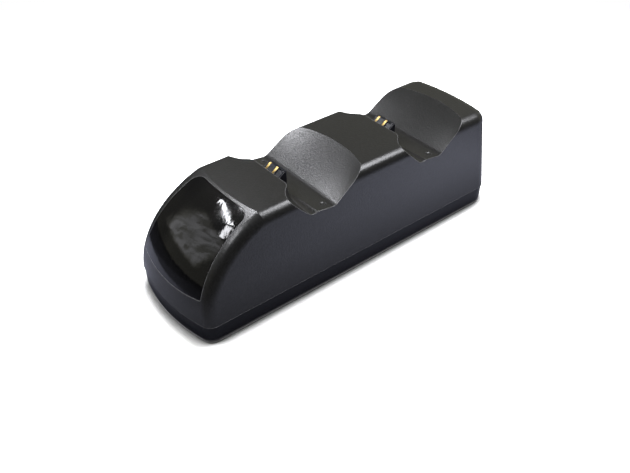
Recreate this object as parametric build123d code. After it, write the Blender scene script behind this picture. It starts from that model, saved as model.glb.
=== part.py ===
from build123d import *
import os
from math import asin, cos, degrees, radians, sin, sqrt, tan

# Two-bay charging dock for game controllers, in millimetres: +Z is up and the nose points to -Y.
# The origin is on the table under the middle of the dock.

# Overall sizes, taken at the parting line between shell and base
LENGTH = 206.0
WIDTH = 65.0
HEIGHT = 59.5
SEAM_Z = 11.2
WALL = 2.0
SIDE_DRAFT_DEG = 4.7
REAR_DRAFT_DEG = 6.0
CORNER_R = 9.5
TOP_EDGE_R = 6.0
FRONT_BOW_R = 102.0
REAR_BOW_R = 130.0

# Nose: a quarter ellipse from the parting line up to the crease at the front of the roof
NOSE_RUN = 38.8
NOSE_AXIS = 58.5

# Window in the nose, drawn on a plane that leans back by WINDOW_TILT_DEG
WINDOW_TILT_DEG = 45.0
WINDOW_TOP_HALF = 21.7
WINDOW_BOTTOM_HALF = 25.8
WINDOW_TOP_MARGIN = 1.2
WINDOW_FOOT_Z = 23.6
WINDOW_TOP_RISE = 0.8
WINDOW_FOOT_RISE = 3.9
WINDOW_TOP_CORNER_R = 6.0
WINDOW_FOOT_CORNER_R = 1.0
WINDOW_FIT = 0.15
WINDOW_FLANGE = 1.5
WINDOW_FLANGE_THICK = 1.2
WINDOW_REACH = 14.0

# Cradles: sizes from the lip (the back edge of the plate in front) at the level of the roof
RIDGE_FROM_NOSE = 66.3
CRADLE_PITCH = 75.0
LIP_STRAIGHT_HALF = 12.0
LIP_SHOULDER_X = 17.5
LIP_SHOULDER_Y = 3.6
LIP_FLARE_DEG = 21.0
FRONT_FOOT_Y = 1.5
REAR_FOOT_Y = 18.5
FLOOR_FRONT_DEPTH = 10.5
FLOOR_REAR_DEPTH = 12.9
BACK_RUN_MIDDLE = 44.6
BACK_DISH_R = 60.0
FRONT_FOOT_R = 4.0
REAR_FOOT_R = 5.0
PIP_R = 4.0
PIP_DEPTH = 0.45
PIP_X = 25.0
PIP_Y = 14.5
GUTTER_R = 6.0
GUTTER_Y = 5.2
GUTTER_START = 8.0
GUTTER_FALL_DEG = 1.95

# Contact tongue, from the lip of its cradle
TONGUE_LEFT = -7.6
TONGUE_RIGHT = 5.9
TONGUE_FRONT = 0.7
TONGUE_REAR = 6.4
TONGUE_STAND = 0.4
TONGUE_SLOPE_DEG = 36.0
TONGUE_SLOPE_END = 4.6
TONGUE_EDGE_R = 0.6
TONGUE_FIT = 0.3
LEAF_X = (-5.6, 0.0)
LEAF_WIDTH = 1.4
LEAF_THICK = 0.35
LEAF_PROUD = 0.15
LEAF_START = 1.1
LEAF_TAIL_Y = 5.4
KEY_X = 4.9
KEY_WIDTH = 0.8
KEY_RISE = 0.4
GROOVE_X = 1.2
GROOVE_DEPTH = 0.6
CUT_LAND = 0.6
FLANGE_HALF = 15.5
FLANGE_REAR = 10.0
FLANGE_THICK = 1.5
CONTACT_BOARD_THICK = 1.2
CONTACT_SCREW_X = 12.5
CONTACT_SCREW_Y = 4.5
CONTACT_SCREW_GRIP = 3.0

# Base tray
FOOT_STAND = 0.5
BASE_INSET = 0.25
BASE_TAPER = 0.4
BASE_EDGE_R = 0.8
BASE_NOSE_CORNER_R = 7.5
BASE_LIP_FIT = 0.4
BASE_LIP_THICK = 1.4
BASE_LIP_RISE = 2.5
FOOT_R = 5.0
FOOT_RECESS = 0.8
FOOT_FROM_SIDE = 11.5
FOOT_FROM_END = 24.0

# Case screws, from below into bosses of the shell
CASE_SCREW_X = 22.0
CASE_SCREW_FROM_NOSE = 54.0
CASE_SCREW_FROM_REAR = 12.5
CASE_BOSS_R = 3.4
CASE_POST_R = 4.0
CASE_POST_TOP = 9.0
CASE_HEAD_SEAT = 5.2
CASE_HEAD_R = 2.5
CASE_HEAD_HIGH = 1.6
CASE_SHANK_R = 1.2
CASE_GRIP = 7.5
HEAD_ROOM = 0.3
SHANK_ROOM = 0.25
PILOT_ROOM = 0.05
HEAD_CHAMFER = 0.5
CROSS_LONG_SHARE = 1.1
CROSS_WIDE_SHARE = 0.24

# Main board and what is on it
BOARD_HALF = 16.5
BOARD_FROM_NOSE = 18.0
BOARD_FROM_REAR = 3.8
BOARD_Z = 12.0
BOARD_THICK = 1.6
BOARD_POST_R = 2.6
BOARD_SCREW_X = 13.0
BOARD_SCREW_FROM_END = 9.0
BOARD_HEAD_R = 1.9
BOARD_HEAD_HIGH = 1.2
BOARD_SHANK_R = 0.9
BOARD_GRIP = 5.0
USB_WIDE = 7.5
USB_HIGH = 2.7
USB_DEEP = 7.0
USB_SHEET = 0.3
USB_SET_BACK = 0.4
USB_CUT_FIT = 0.4
USB_TONGUE_WIDE = 3.6
USB_TONGUE_THICK = 0.7
CHIP_LONG = 5.0
CHIP_WIDE = 4.0
CHIP_HIGH = 1.5
CHIP_CHAMFER = 0.3
CHIP_X = -8.0
CHIP_FROM_RIDGE = 26.0
COIL_SIDE = 7.0
COIL_HIGH = 4.0
COIL_CHAMFER = 0.9
COIL_CORE_R = 2.1
COIL_RING_R = 2.8
COIL_RING_DEPTH = 0.8
CAPACITOR_R = 3.15
CAPACITOR_HIGH = 8.0
CAPACITOR_CHAMFER = 0.5
POWER_PART_X = 7.0
POWER_FROM_BOARD_END = 26.0
LED_LONG = 3.5
LED_WIDE = 2.8
LED_HIGH = 1.9
LED_DOME_R = 1.2
LED_X = 7.0
LED_FROM_BOARD_END = 4.0
LEAD_R = 1.1
LEAD_BEND_R = 6.0
LEAD_X = 5.0
LEAD_Y = 8.0
LEAD_DRIFT = 6.0
LEAD_STRAIGHT = 8.0

SPARE = 8.0

# Values worked out from the sizes above
FRONT_Y = -LENGTH / 2
REAR_Y = LENGTH / 2
CREASE_Y = FRONT_Y + NOSE_RUN
NOSE_TALL = (HEIGHT - SEAM_Z) / sqrt(1 - ((NOSE_RUN - NOSE_AXIS) / NOSE_AXIS) ** 2)
RIDGES = {"front": FRONT_Y + RIDGE_FROM_NOSE, "rear": FRONT_Y + RIDGE_FROM_NOSE + CRADLE_PITCH}
UNDERSIDE_Z = HEIGHT - FLOOR_REAR_DEPTH - WALL
CONTACT_BOARD_TOP = UNDERSIDE_Z - FLANGE_THICK
TONGUE_TOP = HEIGHT + TONGUE_STAND
BASE_FLOOR_TOP = FOOT_STAND + WALL
BOARD_TOP = BOARD_Z + BOARD_THICK
BOARD_FRONT_Y = FRONT_Y + BOARD_FROM_NOSE
BOARD_REAR_Y = REAR_Y - BOARD_FROM_REAR
CASE_SCREW_SPOTS = [
    (side * CASE_SCREW_X, y)
    for side in (-1, 1)
    for y in (FRONT_Y + CASE_SCREW_FROM_NOSE, REAR_Y - CASE_SCREW_FROM_REAR)
]
BOARD_SCREW_YS = (
    BOARD_FRONT_Y + BOARD_SCREW_FROM_END,
    (BOARD_FRONT_Y + BOARD_REAR_Y) / 2,
    BOARD_REAR_Y - BOARD_SCREW_FROM_END,
)
BOARD_SCREW_SPOTS = [(side * BOARD_SCREW_X, y) for side in (-1, 1) for y in BOARD_SCREW_YS]
CONTACT_SCREW_SPOTS = [
    (side * CONTACT_SCREW_X, ridge + CONTACT_SCREW_Y)
    for ridge in RIDGES.values()
    for side in (-1, 1)
]
CASE_SCREW = (CASE_HEAD_R, CASE_HEAD_HIGH, CASE_SHANK_R)
BOARD_SCREW = (BOARD_HEAD_R, BOARD_HEAD_HIGH, BOARD_SHANK_R)
FOOT_SPOTS = {
    f"{end}_{side}": (x, y)
    for end, y in (("front", FRONT_Y + FOOT_FROM_END), ("rear", REAR_Y - FOOT_FROM_END))
    for side, x in (("left", FOOT_FROM_SIDE - WIDTH / 2), ("right", WIDTH / 2 - FOOT_FROM_SIDE))
}
POWER_Y = BOARD_REAR_Y - POWER_FROM_BOARD_END
NOSE_FOOT_Y = FRONT_Y + NOSE_AXIS * (1 - sqrt(1 - ((WINDOW_FOOT_Z - SEAM_Z) / NOSE_TALL) ** 2))
WINDOW_MIDDLE = (0, (NOSE_FOOT_Y + CREASE_Y) / 2, (WINDOW_FOOT_Z + HEIGHT) / 2)
WINDOW_LEAN = (0, -sin(radians(WINDOW_TILT_DEG)), cos(radians(WINDOW_TILT_DEG)))
WINDOW_PLANE = Plane(WINDOW_MIDDLE, x_dir=(1, 0, 0), z_dir=WINDOW_LEAN)
WINDOW_CREASE_V = WINDOW_PLANE.to_local_coords(Vector(0, CREASE_Y, HEIGHT)).Y
WINDOW_FOOT_V = WINDOW_PLANE.to_local_coords(Vector(0, NOSE_FOOT_Y, WINDOW_FOOT_Z)).Y


def bow(x, radius):
    """How far an end that is bowed to `radius` falls back at `x` from the middle."""
    return radius - sqrt(radius**2 - x**2)


def cylinder(x, y, low, high, radius):
    """Upright cylinder between two heights."""
    return Pos(x, y, low) * extrude(Circle(radius), amount=high - low)


def block(x0, x1, y0, y1, z0, z1):
    """Box given by its limits on the three axes."""
    centre = ((x0 + x1) / 2, (y0 + y1) / 2, (z0 + z1) / 2)
    return Pos(*centre) * Box(x1 - x0, y1 - y0, z1 - z0)


def side_prism(points, half_width, middle_x=0.0):
    """Closed outline in Y and Z, carried across X to `half_width` on both sides of `middle_x`."""
    outline = Plane.YZ * make_face(Polyline(*points, close=True))
    return Pos(middle_x, 0, 0) * extrude(outline, amount=half_width, both=True)


# Housing: outside of the shell, and the same form set inwards for its hollow


def plan_outline(inset):
    """Plan of the dock at the parting line, `inset` inside its outer edge."""
    half = WIDTH / 2 - inset
    front = FRONT_Y + inset
    rear = REAR_Y - inset
    front_side = front + bow(half, FRONT_BOW_R)
    rear_side = rear - bow(half, REAR_BOW_R)
    edge = ThreePointArc((-half, front_side), (0, front), (half, front_side))
    edge += Line((half, front_side), (half, rear_side))
    edge += ThreePointArc((half, rear_side), (0, rear), (-half, rear_side))
    edge += Line((-half, rear_side), (-half, front_side))
    face = fillet(make_face(edge).vertices().sort_by(Axis.Y)[:2], BASE_NOSE_CORNER_R - inset)
    return fillet(face.vertices().sort_by(Axis.Y)[-2:], CORNER_R - inset)


def drafted_block(inset):
    """Block with drafted sides and a bowed, drafted back, long enough to be cut by the nose."""
    half = WIDTH / 2 - inset
    wide = WIDTH
    front = FRONT_Y - 2 * SPARE
    rear = REAR_Y - inset
    rear_side = rear - bow(wide, REAR_BOW_R)
    rise = HEIGHT - inset - SEAM_Z
    edge = Polyline((-wide, rear_side), (-wide, front), (wide, front), (wide, rear_side))
    edge += ThreePointArc((wide, rear_side), (0, rear), (-wide, rear_side))
    long_block = extrude(Pos(0, 0, SEAM_Z) * make_face(edge), amount=rise, taper=REAR_DRAFT_DEG)
    strip = Pos(0, 0, SEAM_Z) * Rectangle(2 * half, 2 * LENGTH)
    body = extrude(strip, amount=rise, taper=SIDE_DRAFT_DEG) & long_block
    uprights = body.faces().sort_by(Axis.Y)[-1].edges().sort_by(Axis.X)
    return fillet([uprights[0], uprights[-1]], CORNER_R - inset)


def nose_cutter(inset):
    """All that lies in front of the nose: an elliptical profile carried across the bow of the front."""
    centre = (FRONT_Y + NOSE_AXIS, SEAM_Z)
    long_r = NOSE_AXIS - inset
    tall_r = NOSE_TALL - inset
    upper = 180 - degrees(asin((HEIGHT - inset - SEAM_Z) / tall_r))
    lower = 180 + degrees(asin(SPARE / tall_r))
    reach = WIDTH / 2 + SPARE / 2
    sections = []
    for x in (-reach, -reach / 2, 0, reach / 2, reach):
        arc = EllipticalCenterArc(centre, long_r, tall_r, upper, arc_size=lower - upper)
        top, foot = arc @ 0, arc @ 1
        out = FRONT_Y - 3 * SPARE
        over = top.Y + SPARE / 2
        rest = Polyline((foot.X, foot.Y), (out, foot.Y), (out, over), (top.X, over), (top.X, top.Y))
        plane = Plane((x, bow(x, FRONT_BOW_R), 0), x_dir=(0, 1, 0), z_dir=(1, 0, 0))
        sections.append(plane * make_face(arc + rest))
    return loft(sections)


def housing(inset):
    """Rounded housing above the parting line."""
    body = drafted_block(inset) - nose_cutter(inset)
    roof = body.faces().sort_by(Axis.Z)[-1]
    nose = body.faces().sort_by(Axis.Y)[0]
    rim = roof.edges().sort_by(Axis.Y)[1:]
    cheeks = nose.edges().sort_by(Axis.X)
    return fillet([*rim, cheeks[0], cheeks[-1]], TOP_EDGE_R - inset)


# Window


def window_outline(grow):
    """Outline of the window on its leaning plane, `grow` larger all round."""
    top = WINDOW_CREASE_V - WINDOW_TOP_MARGIN
    top_side = top + WINDOW_TOP_RISE
    foot_side = WINDOW_FOOT_V + WINDOW_FOOT_RISE
    foot_left, foot_right = [(side * WINDOW_BOTTOM_HALF, foot_side) for side in (-1, 1)]
    top_left, top_right = [(side * WINDOW_TOP_HALF, top_side) for side in (-1, 1)]
    edge = ThreePointArc(foot_left, (0, WINDOW_FOOT_V), foot_right)
    edge += Line(foot_right, top_right)
    edge += ThreePointArc(top_right, (0, top), top_left)
    edge += Line(top_left, foot_left)
    face = make_face(edge)
    corners = face.vertices().sort_by(Axis.Y)
    face = fillet(corners[2:], WINDOW_TOP_CORNER_R)
    face = fillet(face.vertices().sort_by(Axis.Y)[:2], WINDOW_FOOT_CORNER_R)
    return offset(face, grow) if grow else face


def window_prism(grow):
    """Prism through the wall of the nose, square to the window's plane."""
    return extrude(WINDOW_PLANE * window_outline(grow), amount=WINDOW_REACH, both=True)


def make_window(outer, hollow, deep_hollow):
    """Lens flush with the nose, with a flange that bears on the inside of the shell."""
    lens = (outer - hollow) & window_prism(-WINDOW_FIT)
    flange = (hollow - deep_hollow) & window_prism(WINDOW_FLANGE)
    flange_top = HEIGHT - WALL - WINDOW_FLANGE_THICK - WINDOW_FIT
    roof_room = block(-WIDTH, WIDTH, FRONT_Y, REAR_Y, flange_top, HEIGHT)
    return lens + (flange - roof_room)


# Cradles


def cradle_loft(ridge, front_foot, rear_foot, floor_front, floor_rear, lip_shift, back_shift):
    """Space of one cradle between straight foot lines on its floor and the bowed edges in the roof.

    The walls are ruled, and go on above the roof along the same lines.
    """
    reach = WIDTH / 2 + SPARE / 2
    top = HEIGHT + SPARE / 2
    front_rise = (top - floor_front) / (HEIGHT - floor_front)
    rear_rise = (top - floor_rear) / (HEIGHT - floor_rear)

    def lip(x, y):
        """Point of the front edge, carried up along its wall to the top of the cut."""
        return (x, ridge + front_foot + (y + lip_shift - front_foot) * front_rise, top)

    def back(x):
        """Point of the rear edge, carried up along its wall to the top of the cut."""
        y = BACK_RUN_MIDDLE - bow(x, BACK_DISH_R) + back_shift
        return (x, ridge + rear_foot + (y - rear_foot) * rear_rise, top)

    flare = tan(radians(LIP_FLARE_DEG))
    end_y = -LIP_SHOULDER_Y - (reach - LIP_SHOULDER_X) * flare
    half = LIP_STRAIGHT_HALF
    right_lip = Spline(
        lip(half, 0),
        lip(LIP_SHOULDER_X, -LIP_SHOULDER_Y),
        lip(reach, end_y),
        tangents=[(1, 0, 0), (1, -flare, 0)],
    )
    left_lip = Spline(
        lip(-reach, end_y),
        lip(-LIP_SHOULDER_X, -LIP_SHOULDER_Y),
        lip(-half, 0),
        tangents=[(1, flare, 0), (1, 0, 0)],
    )
    upper = Wire(
        [
            left_lip,
            Line(lip(-half, 0), lip(half, 0)),
            right_lip,
            Line(lip(reach, end_y), back(reach)),
            ThreePointArc(back(reach), back(0), back(-reach)),
            Line(back(-reach), lip(-reach, end_y)),
        ]
    )
    foot = [(x, ridge + front_foot, floor_front) for x in (-reach, -half, half, reach)]
    foot += [(x, ridge + rear_foot, floor_rear) for x in (reach, -reach)]
    lower = Wire([Line(a, b) for a, b in zip(foot, foot[1:] + foot[:1])])
    return Solid.make_loft([lower, upper], ruled=True)


def cradle_floor_z(y):
    """Height of a cradle's floor at `y` behind the lip."""
    fall = (FLOOR_REAR_DEPTH - FLOOR_FRONT_DEPTH) / (REAR_FOOT_Y - FRONT_FOOT_Y)
    return HEIGHT - FLOOR_FRONT_DEPTH - fall * (y - FRONT_FOOT_Y)


def gutter(ridge, side):
    """Hollow along the foot of the lip on one side, which deepens to the outside."""
    lean = radians(GUTTER_FALL_DEG)
    start = (side * GUTTER_START, ridge + GUTTER_Y, cradle_floor_z(GUTTER_Y) + GUTTER_R)
    axis = Plane(start, z_dir=(side * cos(lean), 0, -sin(lean)))
    trough = axis * Cylinder(GUTTER_R, WIDTH / 2, align=(Align.CENTER, Align.CENTER, Align.MIN))
    low, high = ridge + FRONT_FOOT_Y / 2, ridge + REAR_FOOT_Y
    return trough & block(-WIDTH, WIDTH, low, high, UNDERSIDE_Z, HEIGHT - FLOOR_FRONT_DEPTH)


def cradle_cut(ridge):
    """What is taken out of the housing for one controller, with rounded foot lines."""
    front_z = HEIGHT - FLOOR_FRONT_DEPTH
    rear_z = HEIGHT - FLOOR_REAR_DEPTH
    space = cradle_loft(ridge, FRONT_FOOT_Y, REAR_FOOT_Y, front_z, rear_z, 0, 0)
    for z, radius in ((rear_z, REAR_FOOT_R), (front_z, FRONT_FOOT_R)):
        along = space.edges().filter_by(Axis.X).filter_by_position(Axis.Z, z - 0.01, z + 0.01)
        space = fillet(along, radius)
    for side in (-1, 1):
        space += gutter(ridge, side)
        space += Pos(side * PIP_X, ridge + PIP_Y, cradle_floor_z(PIP_Y) - PIP_DEPTH + PIP_R) * Sphere(PIP_R)
    return space


def cradle_backing(ridge):
    """Solid under one cradle that leaves about a wall between it and the hollow, with a level underside."""
    back_shift = 2 * WALL
    front_foot = FRONT_FOOT_Y - WALL
    rear_foot = REAR_FOOT_Y + back_shift
    return cradle_loft(ridge, front_foot, rear_foot, UNDERSIDE_Z, UNDERSIDE_Z, -WALL, back_shift)


# Contact blocks


def slope_z(y):
    """Height of the tongue's sloped face at `y` behind the lip."""
    return TONGUE_TOP - (TONGUE_SLOPE_END - y) * tan(radians(TONGUE_SLOPE_DEG))


def tongue_prism(ridge, grow, low):
    """Tongue that stands behind the lip, `grow` larger all round, from `low` upwards."""
    front, rear = TONGUE_FRONT - grow, TONGUE_REAR + grow
    points = [
        (front, low),
        (front, slope_z(TONGUE_FRONT) + grow),
        (TONGUE_SLOPE_END, TONGUE_TOP + grow),
        (rear, TONGUE_TOP + grow),
        (rear, low),
    ]
    half = (TONGUE_RIGHT - TONGUE_LEFT) / 2
    return side_prism([(ridge + y, z) for y, z in points], half + grow, TONGUE_LEFT + half)


def leaf_points(ridge):
    """Outline of a contact leaf: a strip up the slope, over the top and down to its board."""
    angle = radians(TONGUE_SLOPE_DEG)
    sunk = LEAF_THICK - LEAF_PROUD
    start_z = slope_z(LEAF_START)
    points = [
        (LEAF_START - LEAF_PROUD * sin(angle), start_z + LEAF_PROUD * cos(angle)),
        (TONGUE_SLOPE_END - LEAF_PROUD * tan(angle / 2), TONGUE_TOP + LEAF_PROUD),
        (LEAF_TAIL_Y, TONGUE_TOP + LEAF_PROUD),
        (LEAF_TAIL_Y, CONTACT_BOARD_TOP),
        (LEAF_TAIL_Y - LEAF_THICK, CONTACT_BOARD_TOP),
        (LEAF_TAIL_Y - LEAF_THICK, TONGUE_TOP - sunk),
        (TONGUE_SLOPE_END + sunk * tan(angle / 2), TONGUE_TOP - sunk),
        (LEAF_START + sunk * sin(angle), start_z - sunk * cos(angle)),
    ]
    return [(ridge + y, z) for y, z in points]


def make_leaf(ridge, x):
    """One contact leaf at `x`."""
    return side_prism(leaf_points(ridge), LEAF_WIDTH / 2, x)


def slope_cut(ridge, left_x, right_x, depth):
    """Cut across part of the tongue's sloped face, `depth` below it."""
    front = TONGUE_FRONT - SPARE / 4
    rear = TONGUE_SLOPE_END + CUT_LAND
    points = [
        (front, slope_z(front) - depth),
        (TONGUE_SLOPE_END, TONGUE_TOP - depth),
        (rear, TONGUE_TOP - depth),
        (rear, TONGUE_TOP + SPARE),
        (front, TONGUE_TOP + SPARE),
    ]
    half = (right_x - left_x) / 2
    return side_prism([(ridge + y, z) for y, z in points], half, left_x + half)


def key_rib(ridge):
    """Raised rib beside the contacts that keys the plug."""
    start = TONGUE_FRONT + TONGUE_EDGE_R
    points = [
        (start, slope_z(start) - KEY_RISE),
        (start, slope_z(start) + KEY_RISE),
        (TONGUE_SLOPE_END, TONGUE_TOP + KEY_RISE),
        (TONGUE_REAR - TONGUE_EDGE_R, TONGUE_TOP + KEY_RISE),
        (TONGUE_REAR - TONGUE_EDGE_R, TONGUE_TOP - KEY_RISE),
    ]
    return side_prism([(ridge + y, z) for y, z in points], KEY_WIDTH / 2, KEY_X)


def make_contact_block(ridge):
    """Tongue on a flange, with grooves for the leaves and a key rib beside a shallow channel."""
    tongue = tongue_prism(ridge, 0, UNDERSIDE_Z - FLANGE_THICK / 2)
    tongue = fillet(tongue.edges().filter_by(Axis.Z), TONGUE_EDGE_R)
    body = tongue - slope_cut(ridge, GROOVE_X, KEY_X - KEY_WIDTH / 2, GROOVE_DEPTH)
    body += block(-FLANGE_HALF, FLANGE_HALF, ridge, ridge + FLANGE_REAR, CONTACT_BOARD_TOP, UNDERSIDE_Z)
    body += key_rib(ridge)
    for x in LEAF_X:
        body -= make_leaf(ridge, x)
    for side in (-1, 1):
        body -= contact_screw_hole(side, ridge, CONTACT_BOARD_TOP, UNDERSIDE_Z, SHANK_ROOM)
    return body


def contact_screw_hole(side, ridge, low, high, room):
    """Hole for the screw on one side of a contact block."""
    return cylinder(side * CONTACT_SCREW_X, ridge + CONTACT_SCREW_Y, low, high, BOARD_SHANK_R + room)


def make_contact_board(ridge):
    """Board under a contact block's flange."""
    low = CONTACT_BOARD_TOP - CONTACT_BOARD_THICK
    board = block(-FLANGE_HALF, FLANGE_HALF, ridge, ridge + FLANGE_REAR, low, CONTACT_BOARD_TOP)
    for side in (-1, 1):
        board -= contact_screw_hole(side, ridge, low, CONTACT_BOARD_TOP, SHANK_ROOM)
    return board


def make_screw(x, y, seat, grip, sizes, points_up):
    """Cross-head screw, drawn head down from its seat and turned over if it points down.

    The head bears at height `seat`, and `grip` of shank goes on beyond it.
    """
    head_r, head_high, shank_r = sizes
    head = cylinder(0, 0, -head_high, 0, head_r)
    head = chamfer(head.faces().sort_by(Axis.Z)[0].edges(), HEAD_CHAMFER)
    long, wide = head_r * CROSS_LONG_SHARE, head_r * CROSS_WIDE_SHARE
    cross = Box(long, wide, head_high) + Box(wide, long, head_high)
    shank = cylinder(0, 0, 0, grip, shank_r)
    shank = chamfer(shank.faces().sort_by(Axis.Z)[-1].edges(), shank_r / 2)
    screw = head - Pos(0, 0, -head_high) * cross + shank
    return Pos(x, y, seat) * Rot(0 if points_up else 180, 0, 0) * screw


def screw_set(spots, seat, grip, sizes, points_up):
    """Like screws at several spots, as separate solids."""
    return Compound([make_screw(x, y, seat, grip, sizes, points_up).solid() for x, y in spots])


# Shell


def make_shell(outer, hollow):
    """Moulded housing with its cradles, window opening, bosses and inlet."""
    for ridge in RIDGES.values():
        hollow -= cradle_backing(ridge)
    shell = outer - hollow
    for x, y in CASE_SCREW_SPOTS:
        shell += cylinder(x, y, CASE_POST_TOP, HEIGHT - WALL / 2, CASE_BOSS_R)
    for ridge in RIDGES.values():
        shell -= cradle_cut(ridge)
        shell -= tongue_prism(ridge, TONGUE_FIT, UNDERSIDE_Z - WALL)
        for side in (-1, 1):
            top = UNDERSIDE_Z + CONTACT_SCREW_GRIP
            shell -= contact_screw_hole(side, ridge, UNDERSIDE_Z, top, PILOT_ROOM)
    for x, y in CASE_SCREW_SPOTS:
        pilot_top = CASE_POST_TOP + CASE_GRIP + WALL
        shell -= cylinder(x, y, CASE_POST_TOP, pilot_top, CASE_SHANK_R + PILOT_ROOM)
    shell -= window_prism(0) & block(-WIDTH, WIDTH, FRONT_Y - SPARE, REAR_Y, SEAM_Z, HEIGHT + SPARE)
    half = USB_WIDE / 2 + USB_CUT_FIT
    low = BOARD_TOP - USB_CUT_FIT
    high = BOARD_TOP + USB_HIGH + USB_CUT_FIT
    return shell - block(-half, half, REAR_Y - 2 * SPARE, REAR_Y + SPARE, low, high)


# Base


def make_base():
    """Tray with a tapered side, a lip inside the shell, screw posts, board posts and foot recesses."""
    rim = Pos(0, 0, SEAM_Z) * plan_outline(BASE_INSET)
    foot = Pos(0, 0, FOOT_STAND) * plan_outline(BASE_INSET + BASE_TAPER)
    tray = loft([foot, rim], ruled=True)
    tray = fillet(tray.faces().sort_by(Axis.Z)[0].edges(), BASE_EDGE_R)
    room = extrude(plan_outline(BASE_INSET + BASE_TAPER + WALL), amount=SEAM_Z)
    tray -= Pos(0, 0, BASE_FLOOR_TOP) * room
    lip = plan_outline(WALL + BASE_LIP_FIT) - plan_outline(WALL + BASE_LIP_FIT + BASE_LIP_THICK)
    tray += Pos(0, 0, SEAM_Z) * extrude(lip, amount=BASE_LIP_RISE, both=True)
    half = BOARD_HALF + BASE_LIP_FIT
    tray -= block(-half, half, REAR_Y - SPARE, REAR_Y, SEAM_Z, SEAM_Z + SPARE)
    for x, y in CASE_SCREW_SPOTS:
        tray += cylinder(x, y, BASE_FLOOR_TOP - WALL / 2, CASE_POST_TOP, CASE_POST_R)
    for x, y in BOARD_SCREW_SPOTS:
        tray += cylinder(x, y, BASE_FLOOR_TOP - WALL / 2, BOARD_Z, BOARD_POST_R)
        tray -= cylinder(x, y, BOARD_Z - BOARD_GRIP, BOARD_Z, BOARD_SHANK_R + PILOT_ROOM)
    for x, y in CASE_SCREW_SPOTS:
        tray -= cylinder(x, y, 0, CASE_HEAD_SEAT, CASE_HEAD_R + HEAD_ROOM)
        tray -= cylinder(x, y, 0, CASE_POST_TOP, CASE_SHANK_R + SHANK_ROOM)
    for x, y in FOOT_SPOTS.values():
        tray -= cylinder(x, y, 0, FOOT_STAND + FOOT_RECESS, FOOT_R)
    return tray


def make_foot(x, y):
    """Round rubber foot in its recess."""
    foot = cylinder(x, y, 0, FOOT_STAND + FOOT_RECESS, FOOT_R)
    return chamfer(foot.edges().sort_by(Axis.Z)[:1], FOOT_STAND / 2)


# Main board and its parts


def make_main_board():
    """Board on the posts of the base."""
    board = block(-BOARD_HALF, BOARD_HALF, BOARD_FRONT_Y, BOARD_REAR_Y, BOARD_Z, BOARD_TOP)
    for x, y in BOARD_SCREW_SPOTS:
        board -= cylinder(x, y, BOARD_Z, BOARD_TOP, BOARD_SHANK_R + SHANK_ROOM)
    return board


def usb_outline(inset):
    """Section of the inlet: flat on top, narrower below."""
    half = USB_WIDE / 2 - inset
    high = USB_HIGH - 2 * inset
    slant = USB_HIGH / 3
    right = [(half - slant, 0), (half, slant), (half, high)]
    left = [(-x, y) for x, y in reversed(right)]
    return Pos(0, inset, 0) * make_face(Polyline(*right, *left, close=True))


def make_usb_socket():
    """Sheet-metal can of the inlet, open to the back."""
    mouth = REAR_Y - USB_SET_BACK - bow(USB_WIDE / 2, REAR_BOW_R)
    plane = Plane((0, mouth, BOARD_TOP), x_dir=(-1, 0, 0), z_dir=(0, 1, 0))
    can = plane * extrude(usb_outline(0), amount=-USB_DEEP)
    return can - plane * extrude(usb_outline(USB_SHEET), amount=-(USB_DEEP - USB_SHEET))


def make_usb_tongue():
    """Moulded contact carrier inside the inlet."""
    mouth = REAR_Y - USB_SET_BACK - bow(USB_WIDE / 2, REAR_BOW_R)
    inner_end = mouth - USB_DEEP + USB_SHEET
    low = BOARD_TOP + USB_SHEET
    high = BOARD_TOP + USB_HIGH - USB_SHEET
    top = high - USB_SHEET
    half = USB_TONGUE_WIDE / 2
    root = block(-half, half, inner_end, inner_end + USB_DEEP / 4, low, high)
    blade = block(-half, half, inner_end, mouth - USB_DEEP / 6, top - USB_TONGUE_THICK, top)
    return root + blade


def make_chip(y):
    """Charging chip in a flat moulded case."""
    chip = Pos(CHIP_X, y, BOARD_TOP + CHIP_HIGH / 2) * Box(CHIP_WIDE, CHIP_LONG, CHIP_HIGH)
    return chamfer(chip.faces().sort_by(Axis.Z)[-1].edges(), CHIP_CHAMFER)


def make_inductor(y):
    """Shielded power inductor: a square case with a round, sunk core."""
    case = Pos(POWER_PART_X, y, BOARD_TOP + COIL_HIGH / 2) * Box(COIL_SIDE, COIL_SIDE, COIL_HIGH)
    case = chamfer(case.edges().filter_by(Axis.Z), COIL_CHAMFER)
    top = BOARD_TOP + COIL_HIGH
    ring = cylinder(POWER_PART_X, y, top - COIL_RING_DEPTH, top, COIL_RING_R)
    core = cylinder(POWER_PART_X, y, top - COIL_RING_DEPTH, top, COIL_CORE_R)
    return case - (ring - core)


def make_capacitor(y):
    """Upright can capacitor."""
    can = cylinder(POWER_PART_X, y, BOARD_TOP, BOARD_TOP + CAPACITOR_HIGH, CAPACITOR_R)
    return chamfer(can.edges().sort_by(Axis.Z)[-1:], CAPACITOR_CHAMFER)


def make_led(x):
    """Status light under the window: a flat case with a low dome."""
    y = BOARD_FRONT_Y + LED_FROM_BOARD_END
    case = Pos(x, y, BOARD_TOP + LED_HIGH / 2) * Box(LED_LONG, LED_WIDE, LED_HIGH)
    dome = Pos(x, y, BOARD_TOP + LED_HIGH) * Sphere(LED_DOME_R)
    return case + dome


def make_lead(ridge):
    """Two-core lead from a contact board down to the main board, with one easy double bend."""
    top = CONTACT_BOARD_TOP - CONTACT_BOARD_THICK
    y = ridge + LEAD_Y
    route = FilletPolyline(
        (LEAD_X, y, top),
        (LEAD_X, y, top - LEAD_STRAIGHT),
        (LEAD_X, y + LEAD_DRIFT, BOARD_TOP + LEAD_STRAIGHT),
        (LEAD_X, y + LEAD_DRIFT, BOARD_TOP),
        radius=LEAD_BEND_R,
    )
    return sweep(Plane((LEAD_X, y, top), z_dir=(0, 0, -1)) * Circle(LEAD_R), path=route)


# All pieces, one node each

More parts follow.
